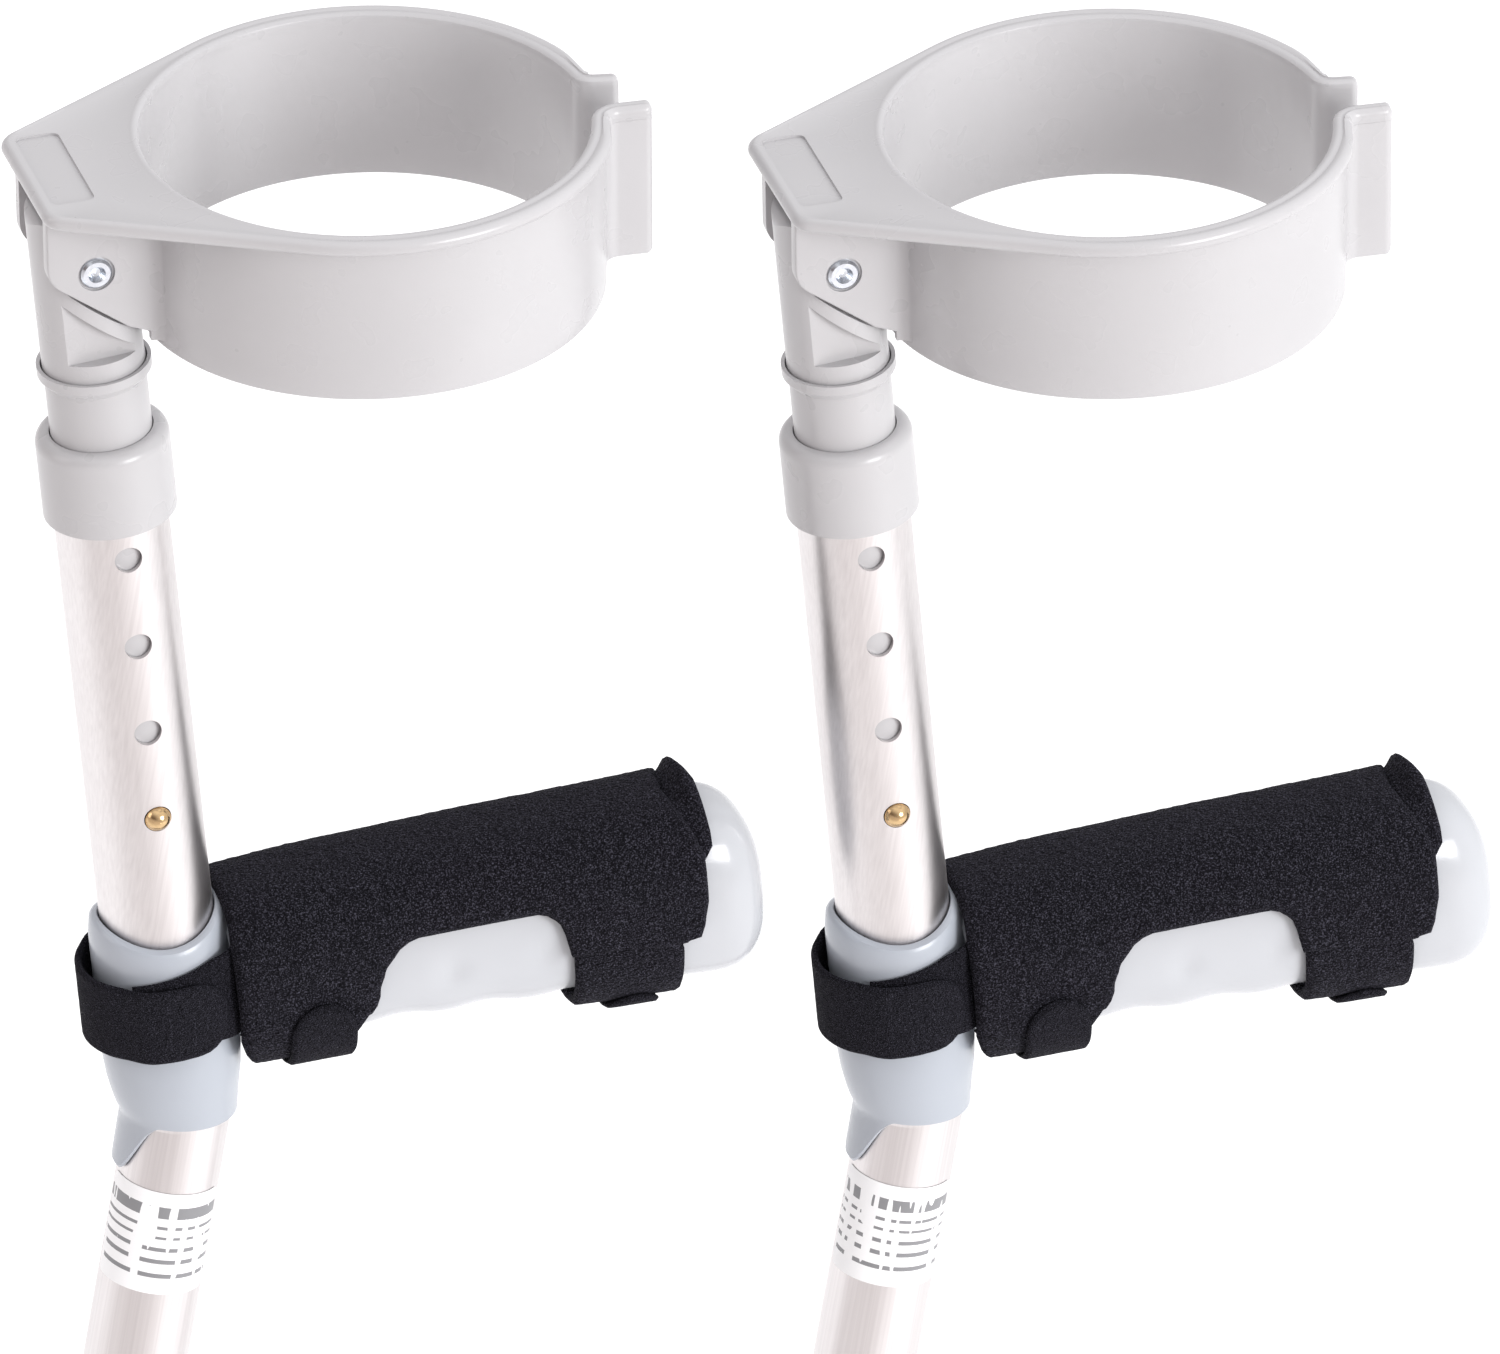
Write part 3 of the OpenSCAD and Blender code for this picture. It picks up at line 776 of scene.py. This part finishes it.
def grip_size(q):
    """Top, underside and half width at q, smooth between the stations."""
    last = len(GRIP_STATIONS) - 1
    i = max(j for j in range(last) if GRIP_STATIONS[j][0] <= q or j == 0)
    before, a = GRIP_STATIONS[max(i - 1, 0)], GRIP_STATIONS[i]
    b, after = GRIP_STATIONS[i + 1], GRIP_STATIONS[min(i + 2, last)]
    t = min(max((q - a[0]) / (b[0] - a[0]), 0), 1)
    sizes = []
    for k in (1, 2, 3):
        rise_a = (b[k] - before[k]) / (b[0] - before[0]) * (b[0] - a[0])
        rise_b = (after[k] - a[k]) / (after[0] - a[0]) * (b[0] - a[0])
        sizes.append(
            a[k] * (1 + 2 * t) * (1 - t) ** 2
            + b[k] * t * t * (3 - 2 * t)
            + rise_a * t * (1 - t) ** 2
            - rise_b * t * t * (1 - t)
        )
    return sizes


def grip_point(q, turn, grow, bare=False):
    """A point on the grip's section, turn 0 at the far side, 90 degrees on top and 180 at the near side."""
    top, low, half = grip_size(q)
    past = (q - (GRIP_END - GRIP_ROUND)) / GRIP_ROUND
    shrink = (1 - min(past, 1) ** GRIP_POWER) ** (1 / GRIP_POWER) if past > 0 else 1
    middle, tall = (top + low) / 2, (top - low) / 2
    c, s = math.cos(turn), math.sin(turn)
    wide = (half + grow) * shrink
    high = (tall + grow) * shrink
    y = wide * math.copysign(abs(c) ** (2 / GRIP_POWER), c)
    z = middle + high * math.copysign(abs(s) ** (2 / GRIP_POWER), s)
    if bare and y < 0:
        y += sum(0.9 * math.exp(-((q - q0) ** 2 + (z - z0) ** 2) / 14) for q0, z0 in GRIP_DIMPLES)
    if bare and s < 0 and GROOVES[0] < q < GROOVES[1]:
        z += 0.7 * (1 - math.cos(math.tau * (q - GROOVES[0]) / GROOVE_PITCH)) * -s
    return (q, y, z)


def grip_row(q, grow, bare=False):
    return [grip_point(q, math.tau * i / GRIP_TURNS, grow, bare) for i in range(GRIP_TURNS)]


def make_grip(name, place, mat):
    qs = [GRIP_START + 1.8 * i for i in range(65)]
    qs += [GRIP_END - GRIP_ROUND * (1 - math.sin(math.radians(90 * i / 16))) for i in range(1, 17)]
    rows = [grip_row(GRIP_START, -1.0)] + [grip_row(q, 0, True) for q in qs[:-1]]
    rows.append(grip_row(GRIP_END - 0.001, 0, True))
    points, faces = loft(rows, capped=True)
    return new_piece(name, points, faces, place, mat, 60)


class Girth:
    """The distance round the grip from its top line at each q, for cloth of a given lift."""

    FIRST_Q = 12
    STEP_Q = 2
    UNDERSIDE = 120

    def __init__(self, grow):
        self.grow = grow
        self.turns = [math.radians(90 + 1.5 * i) for i in range(151)]
        self.table = []
        for q in [self.FIRST_Q + self.STEP_Q * i for i in range(69)]:
            ring = [Vector(grip_point(q, turn, grow)) for turn in self.turns]
            way = [0.0]
            for p, r in zip(ring, ring[1:]):
                way.append(way[-1] + (r - p).length)
            self.table.append(way)

    def way_at(self, q):
        """The distances at each turn, on the section nearest below q."""
        return self.table[min(max(int((q - self.FIRST_Q) / self.STEP_Q), 0), len(self.table) - 1)]

    def turn_at(self, q, a):
        """The turn at a distance a from the top line, positive towards the near side."""
        way = self.way_at(q)
        want = min(abs(a), way[-1])
        k = min(bisect.bisect_right(way, want), len(way) - 1)
        share = (want - way[k - 1]) / max(way[k] - way[k - 1], 1e-6)
        turn = self.turns[k - 1] + share * (self.turns[k] - self.turns[k - 1])
        return turn if a >= 0 else math.pi - turn

    def a_at(self, q, s):
        """The distance from the top line to the height s on the near flank."""
        way = self.way_at(q)
        for turn, a in zip(self.turns, way):
            if grip_point(q, turn, self.grow)[2] <= s:
                return a
        return way[self.UNDERSIDE]

    def under(self, q):
        """The distance from the top line to the middle of the underside."""
        return self.way_at(q)[self.UNDERSIDE]


# ---- Cloth: a flat cut, filled with small triangles, put in place and thickened ----


def resample(corners, step):
    """Points along a closed outline, about a step apart."""
    points = []
    for p, r in zip(corners, corners[1:] + corners[:1]):
        p, r = Vector(p), Vector(r)
        if (r - p).length > 0.01:
            count = max(1, round((r - p).length / step))
            points += [p.lerp(r, i / count) for i in range(count)]
    return points


def flat_cut(corners, step):
    """Points and triangles that fill an outline, how far each point is from its edge, and its flat area."""
    edge = resample(corners, step)
    ends = list(zip(edge, edge[1:] + edge[:1]))
    ex = np.array([[p.x, p.y, r.x, r.y] for p, r in ends])

    def depth(points):
        d = np.full(len(points), 1e9)
        for x0, y0, x1, y1 in ex:
            vx, vy = x1 - x0, y1 - y0
            t = np.clip(((points[:, 0] - x0) * vx + (points[:, 1] - y0) * vy) / (vx * vx + vy * vy), 0, 1)
            d = np.minimum(d, np.hypot(points[:, 0] - x0 - t * vx, points[:, 1] - y0 - t * vy))
        return d

    def inside(points):
        hits = np.zeros(len(points), bool)
        for x0, y0, x1, y1 in ex:
            crosses = (y0 > points[:, 1]) != (y1 > points[:, 1])
            with np.errstate(divide="ignore", invalid="ignore"):
                at = x0 + (points[:, 1] - y0) * (x1 - x0) / (y1 - y0)
            hits ^= crosses & (points[:, 0] < at)
        return hits

    low, high = ex[:, :2].min(0), ex[:, :2].max(0)
    grid = []
    for j in range(int((high[1] - low[1]) / (step * 0.87)) + 1):
        for i in range(int((high[0] - low[0]) / step) + 2):
            grid.append((low[0] + step * (i - 0.5 * (j % 2)), low[1] + step * 0.87 * j))
    grid = np.array(grid)
    grid = grid[inside(grid)]
    grid = grid[depth(grid) > step * 0.55]
    everything = edge + [Vector(p) for p in grid]
    links = [(i, (i + 1) % len(edge)) for i in range(len(edge))]
    points, _, faces, _, _, _ = geometry.delaunay_2d_cdt(everything, links, [], 1, 1e-5)
    flat = np.array([(p.x, p.y) for p in points])
    x, y = ex[:, 0], ex[:, 1]
    area = abs(float(np.dot(x, np.roll(y, -1)) - np.dot(y, np.roll(x, -1)))) / 2
    return flat, [tuple(f) for f in faces], depth(flat), area


def cloth(name, corners, put, thick, place, mat, step, pile, edge_r):
    """A piece of cloth and its flat facts. put(x, y, lift) takes its flat points to the frame `place`."""
    flat, faces, depth, area = flat_cut(corners, step)
    n = len(flat)
    points = []
    for level in (0, 1):
        for (x, y), d in zip(flat, depth):
            rounded = math.sqrt(max(1 - (1 - min(d / edge_r, 1)) ** 2, 0))
            lift = thick / 2 + thick / 2 * (1 if level else -1) * (0.25 + 0.75 * rounded)
            if level and pile:
                fuzz = noise.noise(Vector((x * 0.55, y * 0.55, 3.1)))
                fuzz += 0.6 * noise.noise(Vector((x * 1.3, y * 1.3, 9.4)))
                swell = noise.noise(Vector((x * 0.07, y * 0.07, 1.7)))
                lift += pile * fuzz + 1.2 * pile * swell
            points.append(put(float(x), float(y), lift))
    used = {}
    for a, b, c in faces:
        for pair in ((a, b), (b, c), (c, a)):
            used[frozenset(pair)] = used.get(frozenset(pair), 0) + 1
    solid = [tuple(f) for f in faces] + [(c + n, b + n, a + n) for a, b, c in faces]
    for a, b, c in faces:
        for p, r in ((a, b), (b, c), (c, a)):
            if used[frozenset((p, r))] == 1:
                solid.append((r, p, p + n, r + n))
    piece = new_piece(name, points, solid, place, mat, 75)
    size = flat.max(0) - flat.min(0)
    facts = {"flat": (float(size[0]) * MM, float(size[1]) * MM), "area": area * MM * MM}
    return piece, facts


# The sleeve's lift off the grip, its thickness and where it ends on top
COVER_IN = 0.5
COVER_T = 4.0
COVER_END = 131.5
sleeve = Girth(COVER_IN + COVER_T / 2)


def on_grip(base):
    """Puts flat cloth on the grip at a base lift: x is q, y the distance round from the top line."""

    def put(q, a, lift):
        turn = sleeve.turn_at(q, a)
        return grip_point(q, turn, base + lift)

    return put


def near_edge(points):
    """Given points as (q, height on the near flank) become points of the flat cut."""
    return [(q, sleeve.a_at(q, s)) for q, s in points]


def cover_corners():
    """The sleeve's cut: its middle on top, and a leg on each side at the hub and at the far end."""
    hub_low_a = sleeve.under(30)
    arch = arc((64, 31.5), 14, 180, 90, 8) + arc((90, 35), 9, 90, 0, 6)
    near = [(15.2, 0), (15, 12)] + near_edge([(14.2, 52), (14.2, 25)])
    near += [(18.2, hub_low_a - 8), (19, hub_low_a)]
    near += [(42.5, hub_low_a)] + near_edge([(43, 21), (46, 25.5), (49, 29)]) + near_edge(arch)
    near += near_edge([(99.8, 30.5), (112, 29), (124, 27), (133, 27.5)])
    near += near_edge([(134.2, 31), (135.8, 38), (136.5, 49)])
    near += [(135, 16), (132.5, 8), (COVER_END, 0)]
    far = [(q, -a) for q, a in near]
    return near + far[-2:0:-1]


def make_cover(name, place, mat):
    """The padded sleeve with its turned-up end, and the sleeve's flat facts."""
    body, facts = cloth(name, cover_corners(), on_grip(COVER_IN), COVER_T, place, mat, 1.05, 0.16, 2.0)

    def flap_put(x, y, lift):
        """The turned-up end: x runs from the sleeve's end outwards, y round it."""
        rise = 4.2 * smooth((17 - y) / 20) * smooth((y + 22) / 12)
        q = COVER_END + x
        bend = smooth((x - 1) / 5)
        turn = sleeve.turn_at(q, y)
        return grip_point(min(q, 139.5), turn, 1.2 + lift + rise * bend)

    corners = [(0, 24), (4.5, 24), (7.6, 20), (8.4, 12), (8.0, 2), (6.0, -7), (5, -16), (4, -20), (0, -20)]
    flap, _ = cloth("flap", corners, flap_put, 1.8, place, mat, 1.0, 0.08, 1.0)
    return join_meshes([body, flap]), facts


def strip_corners(q0, q1, end_a, start_a):
    """A strip across the grip with a round end at end_a."""
    r = (q1 - q0) / 2
    middle = (q0 + q1) / 2
    return arc((middle, end_a + r), r, 180, 360, 12) + [(q1, start_a), (q0, start_a)]


def make_tabs(place, mat_tab, mat_wrap):
    """The hub tab, the far end's lower wrap and its small oval tab, each with its flat facts."""
    a0 = sleeve.under(34)
    a1 = sleeve.under(115)
    near = cloth(
        "hub_tab", strip_corners(26, 43, sleeve.a_at(35, 35), a0 + 6), on_grip(COVER_IN + COVER_T + 0.1), 1.8,
        place, mat_tab, 0.9, 0.05, 0.9,
    )
    top = sleeve.a_at(112, 31)
    corners = [(100.6, top), (127.5, top), (128.6, top + 6), (127.6, a1)]
    corners += [(126, a1 + 22), (104, a1 + 22), (100.2, a1)]
    wrap = cloth("end_wrap", corners, on_grip(0.4), 2.9, place, mat_wrap, 1.05, 0.1, 1.4)
    oval = cloth(
        "end_tab", strip_corners(108.5, 122.5, sleeve.a_at(115, 13.5), a1 + 8), on_grip(3.4), 1.7,
        place, mat_tab, 0.9, 0.05, 0.9,
    )
    return near, wrap, oval


# ---- Strap and label: cloth and film bent round a tube ----


def round_track(start, stop, radius):
    """A way round an axis from one angle to another, in degrees, with its length at each point."""
    steps = 180
    track = []
    for i in range(steps + 1):
        degrees = start + (stop - start) * i / steps
        a = math.radians(degrees)
        r = radius(degrees)
        track.append((r * math.cos(a), r * math.sin(a), math.cos(a), math.sin(a)))
    lengths = [0.0]
    for p, r in zip(track, track[1:]):
        lengths.append(lengths[-1] + math.hypot(r[0] - p[0], r[1] - p[1]))
    return np.array(track), np.array(lengths)


def round_put(track, lengths):
    """Puts flat cloth on a track: x is the way along it, y the height."""

    def put(along, height, lift):
        x, y, nx, ny = (float(np.interp(along, lengths, track[:, k])) for k in range(4))
        return (x + nx * lift, y + ny * lift, height)

    return put


STRAP_LOW = 26.5


def strap_radius(degrees):
    """Tight in front and standing off the hub at the back."""
    off = smooth(1 - abs(degrees - 195) / 85)
    overlap = 1.9 * smooth((degrees - 222) / 25)
    return HUB_R + 0.3 + 2.6 * off + overlap


def make_strap(name, place, mat):
    """The strap's long band over its short base, and the band's flat facts."""
    track, lengths = round_track(52, 305, strap_radius)
    end = float(lengths[-1])
    high = STRAP_LOW + 20.5
    corners = [(0, STRAP_LOW), (end - 9, STRAP_LOW)] + arc((end - 9, STRAP_LOW + 9), 9, -90, 0, 7)
    corners += arc((end - 11, high - 11), 11, 0, 90, 7) + [(0, high + 2.5)]
    band, facts = cloth(name, corners, round_put(track, lengths), 1.8, place, mat, 0.95, 0.06, 0.9)
    track, lengths = round_track(-128, -43, lambda degrees: HUB_R + 0.2 + 2.0 * smooth((degrees + 66) / 20))
    end = float(lengths[-1])
    heights = ((0, 1), (1, 0.5), (1, 25.5), (0.5, 23), (0, 20.5))
    corners = [(end * share, STRAP_LOW + height) for share, height in heights]
    base, _ = cloth("base", corners, round_put(track, lengths), 1.7, place, mat, 1.0, 0.06, 0.9)
    return join_meshes([band, base]), facts


def make_label(name, place, mat):
    """A film with rounded corners round the leg, its middle at the near side and a little back."""
    centre = math.degrees(math.atan2(-0.94, -0.35))
    track, lengths = round_track(centre - 75, centre + 75, lambda degrees: 13.08)
    end = float(lengths[-1])
    low, high, r = -46.0, -17.5, 2
    corners = arc((r, low + r), r, 180, 270, 4) + arc((end - r, low + r), r, 270, 360, 4)
    corners += arc((end - r, high - r), r, 0, 90, 4) + arc((r, high - r), r, 90, 180, 4)
    return cloth(name, corners, round_put(track, lengths), 0.16, place, mat, 2.0, 0.0, 0.1)[0]


# ---- Every custom piece, made for the left crutch and copied to the right ----


def place_piece(piece, body, slot, *nodes):
    """Hides the CAD nodes a piece stands for and attaches it to the body it rides on; its slot is not used.
    """
    if nodes:
        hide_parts(*nodes)
    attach(piece, body)


def twin(piece, name):
    """A copy of a left piece where the right crutch stands."""
    mesh = piece.data.copy()
    mesh.transform(Matrix.Translation(FRAMES["right"][1].translation - bend))
    copy = bpy.data.objects.new(name, mesh)
    scene.collection.objects.link(copy)
    return copy


tube_place, leg_place, cuff_place = FRAMES["left"]
cuff_piece = make_cuff("left_cuff_moulding", cuff_place, cuff_plastic)
hub_piece = make_hub("left_hub_moulding", leg_place, tube_place, hub_plastic)
grip_piece = make_grip("left_grip_moulding", tube_place, grip_plastic)
label_piece = make_label("left_label_film", leg_place, label_film)
cover, cover_facts = make_cover("left_cover", tube_place, terry_black)
(hub_tab, hub_tab_facts), (end_wrap, wrap_facts), (end_tab, end_tab_facts) = make_tabs(
    tube_place, hook_black, terry_black
)
strap, strap_facts = make_strap("left_strap", tube_place, hook_black)
MADE = {
    "cuff_moulding": (cuff_piece, "cuff_body", "cuff_plastic", "cuff"),
    "hub_moulding": (hub_piece, "frame", "hub_plastic", "handle_hub"),
    "grip_moulding": (grip_piece, "frame", "grip_plastic", "hand_grip"),
    "cover_sleeve": (cover, "frame", "cover_fabric", "grip_cover"),
    "hub_tab": (hub_tab, "frame", "strap_fabric", "cover_hook_tabs"),
    "end_wrap": (end_wrap, "frame", "cover_fabric", None),
    "end_tab": (end_tab, "frame", "strap_fabric", None),
    "strap_band": (strap, "frame", "strap_fabric", "hub_strap"),
    "label_film": (label_piece, "frame", "label_paper", "tube_label"),
}
for side in SIDES:
    for piece_name, (piece, body, slot, node) in MADE.items():
        full_name = side + "_" + piece_name
        if side == "right":
            piece = twin(piece, full_name)
        piece.name = full_name
        place_piece(piece, side + "_" + body, slot, *([side + "_" + node] if node else []))

CAD_LOOKS = {
    "pivot_rivet": zinc,
    "pivot_head": cuff_plastic,
    "post_tube": cuff_plastic,
    "post_button": brass,
    "post_button_spring": blue_steel,
    "tube_collar": cuff_plastic,
    "upper_tube": tube_alloy,
    "hub_pin": zinc,
    "leg_tube": leg_alloy,
    "leg_collar": cuff_plastic,
    "leg_extension": leg_alloy,
    "leg_button": brass,
    "leg_button_spring": blue_steel,
    "ferrule": foot_rubber,
    "ferrule_washer": zinc,
}
for side in SIDES:
    for piece, mat in CAD_LOOKS.items():
        node = frame["nodes"][side + "_" + piece]
        node.data.materials.clear()
        node.data.materials.append(mat)

plain = [[[float(c) for c in corner] for corner in b] for b in (cad_bounds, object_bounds())]
